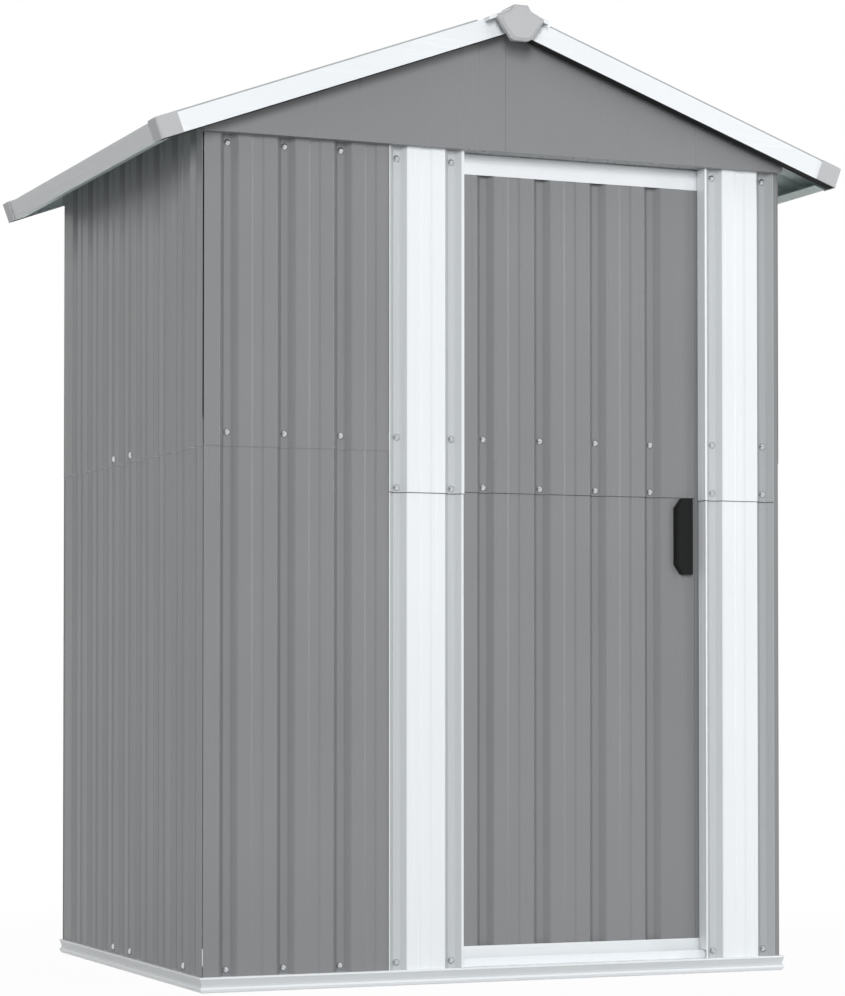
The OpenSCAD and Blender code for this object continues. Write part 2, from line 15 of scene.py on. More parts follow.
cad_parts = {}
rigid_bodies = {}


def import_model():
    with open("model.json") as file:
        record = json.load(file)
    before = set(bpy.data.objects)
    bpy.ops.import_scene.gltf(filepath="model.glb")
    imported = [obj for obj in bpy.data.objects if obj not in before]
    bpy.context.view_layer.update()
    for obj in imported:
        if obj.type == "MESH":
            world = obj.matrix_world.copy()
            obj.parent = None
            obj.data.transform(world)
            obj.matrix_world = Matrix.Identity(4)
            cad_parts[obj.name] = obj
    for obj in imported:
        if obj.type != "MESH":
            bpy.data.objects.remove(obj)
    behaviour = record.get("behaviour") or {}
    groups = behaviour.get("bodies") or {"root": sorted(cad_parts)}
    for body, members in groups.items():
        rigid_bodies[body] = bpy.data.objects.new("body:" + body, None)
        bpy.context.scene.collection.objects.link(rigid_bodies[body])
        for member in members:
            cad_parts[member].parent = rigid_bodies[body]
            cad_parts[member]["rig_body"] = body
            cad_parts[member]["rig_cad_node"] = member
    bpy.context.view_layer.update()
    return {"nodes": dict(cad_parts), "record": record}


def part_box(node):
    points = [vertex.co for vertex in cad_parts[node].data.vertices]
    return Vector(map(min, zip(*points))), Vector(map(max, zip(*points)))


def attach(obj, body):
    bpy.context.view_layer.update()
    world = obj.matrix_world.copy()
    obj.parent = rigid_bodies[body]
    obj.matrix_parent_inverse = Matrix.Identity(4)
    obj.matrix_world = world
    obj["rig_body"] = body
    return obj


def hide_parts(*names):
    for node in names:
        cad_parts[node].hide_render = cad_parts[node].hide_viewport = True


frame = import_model()
MM = 0.001

# %% [markdown]
# The camera comes first, because every later choice is judged through it. The photograph was taken from
# the front left, at hip height and with a long lens, so the ribs stay almost parallel. A shift lens keeps
# the uprights straight; most of the framing is done by the shift and the rest by a slight tilt, so that
# other views, which keep the shift, still hold the whole shed.

# %% Place the camera
CAMERA_PLACE = Vector((-2.3641, -5.7568, 0.558))
CAMERA_TURN = math.radians(22.619)
CAMERA_TILT = math.radians(1.347)
LENS_MM = 109.25
LENS_SHIFT = 0.12

scene = bpy.context.scene
scene.view_settings.view_transform = "Standard"
bpy.ops.object.select_all(action="DESELECT")
bpy.ops.object.camera_add(location=CAMERA_PLACE, rotation=(math.pi / 2 + CAMERA_TILT, 0, -CAMERA_TURN))
camera = bpy.context.object
camera.name = "front_left_camera"
camera.data.lens = LENS_MM
camera.data.shift_y = LENS_SHIFT
scene.camera = camera
print("camera", round(CAMERA_PLACE.length, 2), "m from the middle of the shed's base")

# %% [markdown]
# A material in Blender is a small graph of nodes. Writing the graph by hand takes three lines a node, so
# one helper adds a node with its settings and links, and one starts a material with an empty graph.
# Colours are read off as sRGB hex values, the way a paint chart gives them, and turned to the linear
# values that the shader mixes.

# %% Helpers for nodes, materials and colours
def add(tree, kind, sockets=(), **settings):
    """Add one node; a socket takes a plain value, or another node's output to link."""
    node = tree.nodes.new(kind)
    for name, value in settings.items():
        setattr(node, name, value)
    for socket, value in dict(sockets).items():
        if isinstance(value, bpy.types.NodeSocket):
            tree.links.new(value, node.inputs[socket])
        else:
            node.inputs[socket].default_value = value
    return node


def empty_material(name):
    """A new material with an empty graph, and that graph."""
    material = bpy.data.materials.new(name)
    material.use_nodes = True
    material.node_tree.nodes.clear()
    return material, material.node_tree


def linear(hex_code, gain=1.0):
    """An sRGB hex colour as linear red, green, blue and alpha, made lighter or darker by a gain."""
    shares = [int(hex_code[i : i + 2], 16) / 255 for i in (1, 3, 5)]
    linear_shares = [s / 12.92 if s <= 0.04045 else ((s + 0.055) / 1.055) ** 2.4 for s in shares]
    return [*(gain * s for s in linear_shares), 1.0]


print("mid grey is", [round(c, 3) for c in linear("#808080")])

# %% [markdown]
# The studio is white all round. A white room seen directly would also flood the shed with light, so the
# world shows white only to rays from the camera, from gloss and through glass, and gives a weaker light
# to everything else. Strength 1 is plain white, so nothing is brighter than paper.

# %% A pale world
AIR_LIGHT = 0.22

world = bpy.data.worlds.new("pale_studio_air")
world.use_nodes = True
world.node_tree.nodes.clear()
scene.world = world


def seen_directly(tree):
    """1 for rays from the camera, off gloss or through glass, and 0 for the rays that light things."""
    path = add(tree, "ShaderNodeLightPath").outputs
    seen = path["Is Camera Ray"]
    for kind in ("Is Glossy Ray", "Is Transmission Ray"):
        seen = add(tree, "ShaderNodeMath", {0: seen, 1: path[kind]}, operation="MAXIMUM").outputs[0]
    return seen


air = world.node_tree
strength = add(
    air, "ShaderNodeMath", {0: seen_directly(air), 1: 1 - AIR_LIGHT, 2: AIR_LIGHT}, operation="MULTIPLY_ADD"
)
background = add(air, "ShaderNodeBackground", {"Color": (1, 1, 1, 1), "Strength": strength.outputs[0]})
add(air, "ShaderNodeOutputWorld", {"Surface": background.outputs[0]})
print("world light away from the camera:", AIR_LIGHT)

# %% [markdown]
# The floor is one pale sheet of studio paper. Near the shed it is ordinary matt paper and takes the
# shadow; further out it fades into the white of the room, so no horizon cuts through the picture.

# %% A pale floor that keeps the shadow
FLOOR_SPAN = 40
PAPER_NEAR = 0.9
PAPER_FAR = 2.1
PAPER_GLOW = 0.97
PAPER_TONE = "#cccccc"

bpy.ops.object.select_all(action="DESELECT")
bpy.ops.mesh.primitive_plane_add(size=FLOOR_SPAN, location=(0, 0, 0))
floor = bpy.context.object
floor.name = "studio_floor"
paper, tree = empty_material("matt_studio_paper")
place = add(tree, "ShaderNodeTexCoord")
reach = add(tree, "ShaderNodeVectorMath", {0: place.outputs["Object"]}, operation="LENGTH")
fade = add(
    tree,
    "ShaderNodeMapRange",
    {"Value": reach.outputs["Value"], "From Min": PAPER_NEAR, "From Max": PAPER_FAR, "To Min": PAPER_GLOW},
    interpolation_type="SMOOTHSTEP",
)
share = add(tree, "ShaderNodeMath", {0: fade.outputs[0], 1: seen_directly(tree)}, operation="MULTIPLY")
matt = add(tree, "ShaderNodeBsdfDiffuse", {"Color": linear(PAPER_TONE)})
white = add(tree, "ShaderNodeEmission", {"Color": (1, 1, 1, 1), "Strength": 1.0})
both = add(tree, "ShaderNodeMixShader", {0: share.outputs[0], 1: matt.outputs[0], 2: white.outputs[0]})
add(tree, "ShaderNodeOutputMaterial", {"Surface": both.outputs[0]})
floor.data.materials.append(paper)
print("floor", FLOOR_SPAN, "m wide, matt within", PAPER_NEAR, "m")

# %% [markdown]
# Soft boxes do the rest. The key is a tall strip far away on the camera's side, so its light is almost
# parallel and reaches into the grooves that the camera sees. It is hidden from gloss, or every fold that
# leans its way would flash. The strip on the right is the only one that gloss sees: it draws a bright
# line on each crease that faces it. A small box near the right front lifts the pilasters' right slopes, a
# low one on the left reaches up under the eaves, one overhead opens the roof, and one behind lights the
# far sides for a walk round the shed.

# %% Soft boxes
LIGHT_AIM = Vector((0, -0.3, 0.95))
SOFT_BOXES = {
    "key_strip": (Vector((-4.9, -13.1, 3.9)), 2.2, 5.0, 1180),
    "rake_strip": (Vector((4.6, -2.1, 1.5)), 0.7, 2.8, 44),
    "fill_box": (Vector((2.3, -3.3, 1.4)), 1.2, 2.0, 9),
    "left_box": (Vector((-5.0, 0.4, 0.35)), 3.0, 1.2, 15),
    "top_box": (Vector((0.3, -1.6, 6.0)), 4.0, 4.0, 40),
    "back_box": (Vector((2.6, 7.6, 3.2)), 4.0, 4.0, 400),
}

for name, (where, wide, high, watts) in SOFT_BOXES.items():
    bpy.ops.object.select_all(action="DESELECT")
    turn = (LIGHT_AIM - where).to_track_quat("-Z", "Y").to_euler()
    bpy.ops.object.light_add(type="AREA", location=where, rotation=turn)
    lamp = bpy.context.object
    lamp.name = name
    lamp.data.shape = "RECTANGLE"
    lamp.data.size = wide
    lamp.data.size_y = high
    lamp.data.energy = watts
    lamp.visible_camera = False
    lamp.visible_glossy = name == "rake_strip"
print("soft boxes:", ", ".join(SOFT_BOXES))

# %% [markdown]
# In a white room every fold mirrors white and the ribs go flat. Photographers hang a dark curtain behind
# the camera: folds that lean towards it mirror the dark and get a fine edge. It only has to be there for
# gloss, so it is hidden from every other kind of ray and takes no light away.

# %% A dark curtain behind the camera
CURTAIN_PLACE = Vector((-4.0, -8.4, 2.0))
CURTAIN_SPAN = 5.5
CURTAIN_TONE = "#1a1a1a"

bpy.ops.object.select_all(action="DESELECT")
hang = (LIGHT_AIM - CURTAIN_PLACE).to_track_quat("Z", "Y").to_euler()
bpy.ops.mesh.primitive_plane_add(size=CURTAIN_SPAN, location=CURTAIN_PLACE, rotation=hang)
curtain = bpy.context.object
curtain.name = "dark_curtain"
cloth, tree = empty_material("black_curtain_cloth")
dark = add(tree, "ShaderNodeBsdfDiffuse", {"Color": linear(CURTAIN_TONE)})
add(tree, "ShaderNodeOutputMaterial", {"Surface": dark.outputs[0]})
curtain.data.materials.append(cloth)
curtain.visible_camera = False
curtain.visible_diffuse = False
curtain.visible_shadow = False
curtain.visible_transmission = False
print("curtain", CURTAIN_SPAN, "m wide, seen in reflections only")

# %% [markdown]
# The wall, roof and door sheets are coil-coated steel: thin zinc-coated strip that is painted and baked
# on a roller line before it is folded. That gives an even satin skin with a faint orange peel, very
# slight changes of tone along the strip, and soft streaks of gloss in the rolling direction. The white
# trims come off the same kind of line with a glossier paint.

# %% Coil-coated steel
PEEL_MM = 7.0
PEEL_STRENGTH = 0.12
PEEL_HEIGHT = 0.08 * MM
STREAK_MM = 24.0
STREAK_SHARE = 0.03
TONE_MM = 420.0
NOISE_LOW, NOISE_HIGH = 0.3, 0.7


def coil_coated_steel(name, paint, spread, gloss_low, gloss_high, run="Z", shine=0.5):
    """Baked paint on rolled strip: slow tone changes, streaks of gloss along its run, and a fine peel."""
    material, tree = empty_material(name)
    place = add(tree, "ShaderNodeTexCoord").outputs["Object"]
    tone = add(tree, "ShaderNodeTexNoise", {"Vector": place, "Scale": 1 / (TONE_MM * MM), "Detail": 2.0})
    colour = add(tree, "ShaderNodeValToRGB", {"Fac": tone.outputs["Fac"]})
    colour.color_ramp.elements[0].position = NOISE_LOW
    colour.color_ramp.elements[1].position = NOISE_HIGH
    colour.color_ramp.elements[0].color = linear(paint, 1 - spread)
    colour.color_ramp.elements[1].color = linear(paint, 1 + spread)
    drawn_out = [STREAK_SHARE if axis == run else 1 for axis in "XYZ"]
    strip = add(tree, "ShaderNodeMapping", {"Vector": place, "Scale": drawn_out})
    streak = add(
        tree, "ShaderNodeTexNoise", {"Vector": strip.outputs[0], "Scale": 1 / (STREAK_MM * MM), "Detail": 3.0}
    )
    gloss = add(
        tree,
        "ShaderNodeMapRange",
        {
            "Value": streak.outputs["Fac"],
            "From Min": NOISE_LOW,
            "From Max": NOISE_HIGH,
            "To Min": gloss_low,
            "To Max": gloss_high,
        },
    )
    # Real peel is about 1 mm across; it is drawn coarser so that it shows as a faint ripple in the gloss.
    peel = add(tree, "ShaderNodeTexNoise", {"Vector": place, "Scale": 1 / (PEEL_MM * MM), "Detail": 2.0})
    skin = add(
        tree,
        "ShaderNodeBump",
        {"Height": peel.outputs["Fac"], "Strength": PEEL_STRENGTH, "Distance": PEEL_HEIGHT},
    )
    shader = add(
        tree,
        "ShaderNodeBsdfPrincipled",
        {
            "Base Color": colour.outputs["Color"],
            "Roughness": gloss.outputs["Result"],
            "Normal": skin.outputs["Normal"],
            "IOR": 1.5,
            "Specular IOR Level": shine,
        },
    )
    add(tree, "ShaderNodeOutputMaterial", {"Surface": shader.outputs[0]})
    return material


GREY = ("#868789", 0.03, 0.26, 0.36)
grey_paint = coil_coated_steel("coil_coated_steel_grey_upright", *GREY)
grey_across = coil_coated_steel("coil_coated_steel_grey_across", *GREY, run="X")
# The side sheets get less shine and a slightly lighter grey; the lighter grey is painted sheen for the gloss
# that they lose.
grey_dull_sheen_paint = coil_coated_steel("coil_coated_steel_grey_dull_painted_sheen", "#8d8e90", 0.03, 0.3, 0.4, shine=0.2)
WHITE = ("#eef2f5", 0.015, 0.2, 0.3)
white_paint = coil_coated_steel("coil_coated_steel_white_upright", *WHITE)
white_across = coil_coated_steel("coil_coated_steel_white_across", *WHITE, run="X")
white_along = coil_coated_steel("coil_coated_steel_white_along", *WHITE, run="Y")
# The eave trims get a greyer white than the other trims: painted shade.
eave_white_shade = coil_coated_steel("coil_coated_steel_white_eaves_painted_shade", "#cbcfd1", *WHITE[1:], run="Y")
paints = (grey_paint, grey_across, grey_dull_sheen_paint, white_paint, white_across, white_along, eave_white_shade)
print("paints:", ", ".join(paint.name for paint in paints))

# %% [markdown]
# The frame inside and the screws are zinc on steel. Hot-dip zinc freezes in crystals, so each patch of a
# few millimetres mirrors the light a little differently; that patchwork is called spangle. A Voronoi
# texture has the same cells with a random value for each, which sets both the tone and the gloss.

# %% Hot-dip galvanised steel
SPANGLE_MM = 9.0
FINE_SPANGLE_MM = 3.0
ZINC_DARK, ZINC_LIGHT = 0.84, 1.08


def galvanised_steel(name, zinc, gloss_low, gloss_high, cell_mm):
    """Bare zinc: a metal whose crystals differ in tone and gloss."""
    material, tree = empty_material(name)
    place = add(tree, "ShaderNodeTexCoord").outputs["Object"]
    cells = add(tree, "ShaderNodeTexVoronoi", {"Vector": place, "Scale": 1 / (cell_mm * MM)})
    grain = add(tree, "ShaderNodeSeparateColor", {"Color": cells.outputs["Color"]})
    colour = add(tree, "ShaderNodeValToRGB", {"Fac": grain.outputs["Red"]})
    colour.color_ramp.elements[0].color = linear(zinc, ZINC_DARK)
    colour.color_ramp.elements[1].color = linear(zinc, ZINC_LIGHT)
    gloss = add(
        tree,
        "ShaderNodeMapRange",
        {"Value": grain.outputs["Green"], "To Min": gloss_low, "To Max": gloss_high},
    )
    shader = add(
        tree,
        "ShaderNodeBsdfPrincipled",
        {"Base Color": colour.outputs["Color"], "Roughness": gloss.outputs["Result"], "Metallic": 1.0},
    )
    add(tree, "ShaderNodeOutputMaterial", {"Surface": shader.outputs[0]})
    return material


frame_zinc = galvanised_steel("hot_dip_galvanised_steel", "#b4b8ba", 0.34, 0.5, SPANGLE_MM)
screw_zinc = galvanised_steel("bright_zinc_plated_steel", "#c9ccce", 0.2, 0.32, FINE_SPANGLE_MM)
print("metals:", frame_zinc.name, screw_zinc.name)

# %% [markdown]
# The corner caps and the ridge end caps are moulded in light grey polypropylene, and the handle and the
# glides in black ABS. A steel mould that was spark-eroded leaves a fine even grain, which breaks the
# highlight up and makes the plastic look softer than the paint beside it.

# %% Moulded plastic
GRAIN_MM = 2.4
GRAIN_STRENGTH = 0.3
GRAIN_HEIGHT = 0.12 * MM
GRAIN_GLOSS = 0.06
FLOW_MM = 60.0


def moulded_plastic(name, pigment, spread, roughness):
    """Pigmented plastic with the fine grain of a spark-eroded mould."""
    material, tree = empty_material(name)
    place = add(tree, "ShaderNodeTexCoord").outputs["Object"]
    flow = add(tree, "ShaderNodeTexNoise", {"Vector": place, "Scale": 1 / (FLOW_MM * MM), "Detail": 2.0})
    colour = add(tree, "ShaderNodeValToRGB", {"Fac": flow.outputs["Fac"]})
    colour.color_ramp.elements[0].color = linear(pigment, 1 - spread)
    colour.color_ramp.elements[1].color = linear(pigment, 1 + spread)
    # Mould grain is about 0.3 mm; it is drawn coarser so that it still shows.
    grain = add(tree, "ShaderNodeTexNoise", {"Vector": place, "Scale": 1 / (GRAIN_MM * MM), "Detail": 1.0})
    skin = add(
        tree,
        "ShaderNodeBump",
        {"Height": grain.outputs["Fac"], "Strength": GRAIN_STRENGTH, "Distance": GRAIN_HEIGHT},
    )
    gloss = add(
        tree,
        "ShaderNodeMapRange",
        {"Value": grain.outputs["Fac"], "To Min": roughness - GRAIN_GLOSS, "To Max": roughness + GRAIN_GLOSS},
    )
    shader = add(
        tree,
        "ShaderNodeBsdfPrincipled",
        {
            "Base Color": colour.outputs["Color"],
            "Roughness": gloss.outputs["Result"],
            "Normal": skin.outputs["Normal"],
            "IOR": 1.49,
            "Specular IOR Level": 0.25,
        },
    )
    add(tree, "ShaderNodeOutputMaterial", {"Surface": shader.outputs[0]})
    return material


cap_plastic = moulded_plastic("moulded_polypropylene_grey", "#bebfc1", 0.03, 0.46)
handle_plastic = moulded_plastic("moulded_abs_black", "#131414", 0.12, 0.55)
print("plastics:", cap_plastic.name, handle_plastic.name)

# %% [markdown]
# Every solid gets a finish, most of them that of the real piece. The record already says which slot of
# finish each node has, so the table here only joins a slot to a material, and lists the nodes of each
# slot. Trims that lie down were rolled along their own length, so their streaks of gloss run that way; the
# roof sheets run down the slope. The side sheets are a little duller than the front and a shade lighter,
# which is painted sheen for the gloss they lose, and the eave trims are a little greyer, as painted shade.

# %% Finish every solid
FINISHES = {
    "sheet_grey": (grey_paint, [
        "front_panel_lower", "front_panel_upper", "front_corner_strip",
        "left_wall_lower", "left_wall_upper", "right_wall_lower", "right_wall_upper",
        "back_wall_lower", "back_wall_upper", "gable_front", "gable_back",
        "roof_panel_left", "roof_panel_right", "door_sheet_lower", "door_sheet_upper", "door_stiles",
    ]),
    "trim_white": (white_paint, [
        "base_front_rail", "base_back_rail", "base_left_rail", "base_right_rail", "door_bottom_track",
        "left_pilaster_lower", "left_pilaster_upper", "right_pilaster_lower", "right_pilaster_upper",
        "ridge_cap", "eave_trim_left", "eave_trim_right", "verge_trims_front", "verge_trims_back",
        "door_top_rail", "door_bottom_rail",
    ]),
    "frame_zinc": (frame_zinc, [
        "corner_posts", "wall_mid_rails", "front_top_rail", "back_top_rail",
        "left_top_rail", "right_top_rail", "door_top_track", "ridge_beam",
    ]),
    "cap_plastic": (cap_plastic, ["roof_corner_caps", "ridge_end_cap_front", "ridge_end_cap_back"]),
    "handle_plastic": (handle_plastic, ["door_handle", "door_glides"]),
}
OWN_PAINTS = {
    grey_across: ["roof_panel_left", "roof_panel_right"],
    grey_dull_sheen_paint: ["left_wall_lower", "left_wall_upper", "right_wall_lower", "right_wall_upper"],
    white_across: [
        "base_front_rail", "base_back_rail", "door_bottom_track", "verge_trims_front", "verge_trims_back",
        "door_top_rail", "door_bottom_rail",
    ],
    white_along: ["base_left_rail", "base_right_rail", "ridge_cap"],
    eave_white_shade: ["eave_trim_left", "eave_trim_right"],
}

for slot, (material, nodes) in FINISHES.items():
    for node in nodes:
        solid = frame["nodes"][node]
        solid.data.materials.clear()
        solid.data.materials.append(material)
for material, nodes in OWN_PAINTS.items():
    for node in nodes:
        frame["nodes"][node].data.materials[0] = material

# %% [markdown]
# A solid model folds its sheets on a knife edge, but real strip is bent round a roller and always keeps a
# small radius, which is the thin bright line along every fold. The sheets could be drawn again from a
# plane; it is safer to copy each solid, merge its loose triangles, and bevel only some of its edges, so no
# size can drift. Three helpers do that for any piece: one copies, one rounds and one finishes.

# %% Helpers to copy a solid and round its edges
MERGE_REACH = 0.01 * MM
FLAT_TURN = math.radians(0.5)
BEVEL_STEPS = 3
SMOOTH_ANGLE = math.radians(35)
DOOR_NODES = frame["record"]["behaviour"]["bodies"]["door"]


def copied_solid(node, name):
    """A merged copy of one solid, as a piece with its own mesh at the origin."""
    bpy.ops.object.select_all(action="DESELECT")
    solid = frame["nodes"][node]
    solid.select_set(True)
    bpy.context.view_layer.objects.active = solid
    bpy.ops.object.duplicate()
    piece = bpy.context.view_layer.objects.active
    piece.name = name
    piece.data.name = name
    piece.parent = None
    del piece["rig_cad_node"], piece["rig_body"]
    bpy.ops.mesh.customdata_custom_splitnormals_clear()
    bpy.ops.object.mode_set(mode="EDIT")
    bpy.ops.mesh.select_all(action="SELECT")
    bpy.ops.mesh.remove_doubles(threshold=MERGE_REACH)
    bpy.ops.mesh.dissolve_limited(angle_limit=FLAT_TURN)
    bpy.ops.object.mode_set(mode="OBJECT")
    return piece


def round_edges(piece, radius, test):
    """In edit mode, round the edges between two faces that pass a test, and count them."""
    bpy.ops.mesh.select_mode(type="EDGE")
    bpy.ops.mesh.select_all(action="DESELECT")
    mesh = bmesh.from_edit_mesh(piece.data)
    count = 0
    for edge in mesh.edges:
        if len(edge.link_faces) == 2 and test(edge):
            edge.select_set(True)
            count += 1
    bmesh.update_edit_mesh(piece.data)
    if count:
        bpy.ops.mesh.bevel(offset=radius, segments=BEVEL_STEPS, profile=0.5, clamp_overlap=True)
    return count


def finish_piece(piece, node):
    """Even the shading of a piece, then give it the place and body of the node that it stands for, and hide
    that node.
    """
    bpy.ops.object.select_all(action="DESELECT")
    piece.select_set(True)
    bpy.context.view_layer.objects.active = piece
    bpy.ops.object.shade_smooth_by_angle(angle=SMOOTH_ANGLE)
    even = piece.modifiers.new("even_shading", "WEIGHTED_NORMAL")
    even.keep_sharp = True
    bpy.ops.object.modifier_apply(modifier=even.name)
    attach(piece, "door" if node in DOOR_NODES else "shed")
    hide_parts(node)


print("every rounded edge gets", BEVEL_STEPS, "steps")

# %% [markdown]
# A fold is told from a cut edge by its faces: both are wide, while the cut edge of a sheet has one face a
# millimetre wide. Ribs get a wider radius than creases. A sheet that laps over another also gets a cut
# across its lowest millimetre, for a strip that is painted later on: bare edge with painted shade on most
# sheets and painted light on the side walls. The verge trims get one along the foot of their bead, for the
# bead's painted shade.

# %% Round the folds of the sheets
FOLD_LENGTH = 0.2
FOLD_FACE = 2.5 * MM
LEAST_TURN = math.radians(12)
RIB_ANGLE = math.radians(40)
SHARP_ANGLE = math.radians(70)
RIB_RADIUS = 2.0 * MM
CREASE_RADIUS = 1.2 * MM
# Heights of the lowest strips of lapping sheets: later painted as bare edge and painted shade, and on the
# side walls as painted light instead.
LAP_EDGE_AND_SHADE_STRIPS = {
    "left_wall_upper": 0.5 * MM,
    "right_wall_upper": 0.5 * MM,
    "left_pilaster_upper": 1.2 * MM,
    "right_pilaster_upper": 1.2 * MM,
    "door_sheet_upper": 0.9 * MM,
    "back_wall_upper": 0.6 * MM,
}
ROOF_SLOPE = math.radians(20)
BEADED = ("verge_trims_front", "verge_trims_back")
BEAD_START = 0.2 * MM


def is_fold(edge):
    """A long edge between two wide faces that turn."""
    length = edge.calc_length()
    wide = all(face.calc_area() > FOLD_FACE * length for face in edge.link_faces)
    return length > FOLD_LENGTH and wide and edge.calc_face_angle() > LEAST_TURN


def cut_along(place, normal):
    """In edit mode, cut every face along a plane."""
    bpy.ops.mesh.select_all(action="SELECT")
    bpy.ops.mesh.bisect(plane_co=place, plane_no=normal)


def slope_normal(side):
    """The way that a roof slope faces: side is -1 on the left and 1 on the right."""
    return Vector((side * math.sin(ROOF_SLOPE), 0, math.cos(ROOF_SLOPE)))


def slope_fall(side):
    """The way that a roof slope falls."""
    return Vector((side * math.cos(ROOF_SLOPE), 0, -math.sin(ROOF_SLOPE)))


def folded_sheet(node):
    """A copy of a sheet with every fold rounded: ribs with a wider radius than creases."""
    piece = copied_solid(node, "folded_" + node)
    bpy.ops.object.mode_set(mode="EDIT")
    folds = 0
    for test, radius in (
        (lambda e: is_fold(e) and RIB_ANGLE < e.calc_face_angle() < SHARP_ANGLE, RIB_RADIUS),
        (lambda e: is_fold(e) and e.calc_face_angle() >= SHARP_ANGLE, CREASE_RADIUS),
        (lambda e: is_fold(e) and e.calc_face_angle() <= RIB_ANGLE, CREASE_RADIUS),
    ):
        folds += round_edges(piece, radius, test)
    low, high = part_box(node)
    if node in LAP_EDGE_AND_SHADE_STRIPS:
        cut_along((0, 0, low.z + LAP_EDGE_AND_SHADE_STRIPS[node]), (0, 0, 1))
    if node in BEADED:
        for side in (-1, 1):
            cut_along((0, 0, high.z + BEAD_START), slope_normal(side))
    bpy.ops.object.mode_set(mode="OBJECT")
    finish_piece(piece, node)
    return folds


for slot in ("sheet_grey", "trim_white"):
    made = {node: folded_sheet(node) for node in FINISHES[slot][1]}
    print(slot, "folds rounded:", made)

# %% [markdown]
# Coil-coated strip has a good coat on its outer side only; the back gets a thin pale primer. That shows
# under the eaves, where the roof sheets and the inner sides of the eave trims are seen from below. One
# helper gives some of a sheet's faces a paint of their own, and the next cells use it too.

# %% A pale back coat under the roof
FACES_AWAY = -0.5


def paint_faces(node, material, test):
    """Give the faces of a folded sheet that pass a test a paint of their own, and count them."""
    mesh = bpy.data.objects["folded_" + node].data
    mesh.materials.append(material)
    faces = [face for face in mesh.polygons if test(face)]
    for face in faces:
        face.material_index = len(mesh.materials) - 1
    return len(faces)


back_coat = coil_coated_steel("coil_coated_steel_back_coat", "#d6e6e2", 0.03, 0.35, 0.5)
for node in ("roof_panel_left", "roof_panel_right", "eave_trim_left", "eave_trim_right"):
    fall = slope_fall(1 if node.endswith("right") else -1)
    count = paint_faces(
        node, back_coat, lambda f: f.normal.z < FACES_AWAY or f.normal.dot(fall) < FACES_AWAY
    )
    print(node, count, "faces with the back coat")

# %% [markdown]
# On the white pilasters the valleys read as a clear pale grey between white pans, which is shade in the
# valleys. That shade is painted: the faces that lie deeper than the pan's crease get a pale grey coat of
# their own; the jamb, which looks sideways, keeps the white. The last valley on the right lies over the grey
# corner strip and is painted a darker grey, out to its lip, as painted shade.

# %% Painted shade in the pilasters' valleys
VALLEY_START = 2.6 * MM
SIDEWAYS = 0.95
STRIP_LAP = 10.2 * MM
TRIM_COAT = (0.015, 0.24, 0.34)

# Painted shade: pale grey in the pilasters' valleys, a darker grey in the outer valley.
pilaster_valley_shade_paint = coil_coated_steel("coil_coated_steel_pale_grey", "#c6cacc", *TRIM_COAT)
corner_valley_shade_paint = coil_coated_steel("coil_coated_steel_corner_valley_painted_shade", "#acafb1", *TRIM_COAT)
outer_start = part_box("front_corner_strip")[0].x + STRIP_LAP
for node in (node for node in FINISHES["trim_white"][1] if "pilaster" in node):
    pan_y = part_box(node)[0].y
    deep = paint_faces(
        node, pilaster_valley_shade_paint, lambda f: f.center.y - pan_y > VALLEY_START and abs(f.normal.x) < SIDEWAYS
    )
    outer = paint_faces(node, corner_valley_shade_paint, lambda f: f.center.x > outer_start)
    print(node, deep, "valley faces,", outer, "of the outer valley")

# %% [markdown]
# The base rails have a lip and a bead with a hollow face between them. In the picture the two edges are
# bright lines and the face between is a pale grey, the shade in the hollow; that face gets a pale grey
# coat of its own, as painted shade.

# %% Painted shade on the face between the lip and the bead of the base
FACE_LOW = 10 * MM
LIP_HEIGHT = 4 * MM
HOLLOW_PAINTED_SHADE = {"X": "#d0d4d6", "Y": "#d4d8da"}

face_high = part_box("left_wall_lower")[0].z - LIP_HEIGHT
# Painted shade on the hollow face, one coat for each run of the strip.
hollow_shade_paint = {
    run: coil_coated_steel("coil_coated_steel_hollow_" + run, paint, *TRIM_COAT, run)
    for run, paint in HOLLOW_PAINTED_SHADE.items()
}
for node in ("base_front_rail", "base_back_rail", "base_left_rail", "base_right_rail"):
    run = "X" if node in OWN_PAINTS[white_across] else "Y"
    count = paint_faces(node, hollow_shade_paint[run], lambda f: FACE_LOW < f.center.z < face_high)
    print(node, count, "hollow faces")

# %% [markdown]
# The verge trims carry a bead along their top edge that shows as a thin grey line against the white room;
# that grey is painted shade on the bead. The dark line between the trims and the gable is painted shade
# too: the downward faces of the trims are painted near black.

# %% Painted shade on the bead and under the verge trims
# Painted shade: grey on the bead, near black on the trims' downward faces.
bead_shade_paint = coil_coated_steel("coil_coated_steel_bead_painted_shade", "#a8acae", *TRIM_COAT, "X")
verge_underside_shade = moulded_plastic("painted_shade_under_verge", "#151617", 0.1, 0.8)
drop = math.tan(ROOF_SLOPE)
for node in BEADED:
    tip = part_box(node)[1].z
    bead = paint_faces(node, bead_shade_paint, lambda f: f.center.z > tip - abs(f.center.x) * drop + BEAD_START)
    under = paint_faces(node, verge_underside_shade, lambda f: f.normal.z < FACES_AWAY)
    print(node, bead, "faces of the bead,", under, "of the foam")

# %% [markdown]
# The ridge cap reaches out past the verge trims into its moulded end caps. A short lip hangs from each
# end, so that nobody looks up under the cap: grey next to the end cap, as part of the moulding, and white
# further out, where the flange of the cap itself is folded down. Its line is read from the solid.

# %% Lips on the ends of the ridge cap
LIP_DROP = 6 * MM
LIP_THICK = 1.5 * MM
LIP_GAP = 0.1 * MM
FLANGE_START = 45 * MM
DIGITS = 5

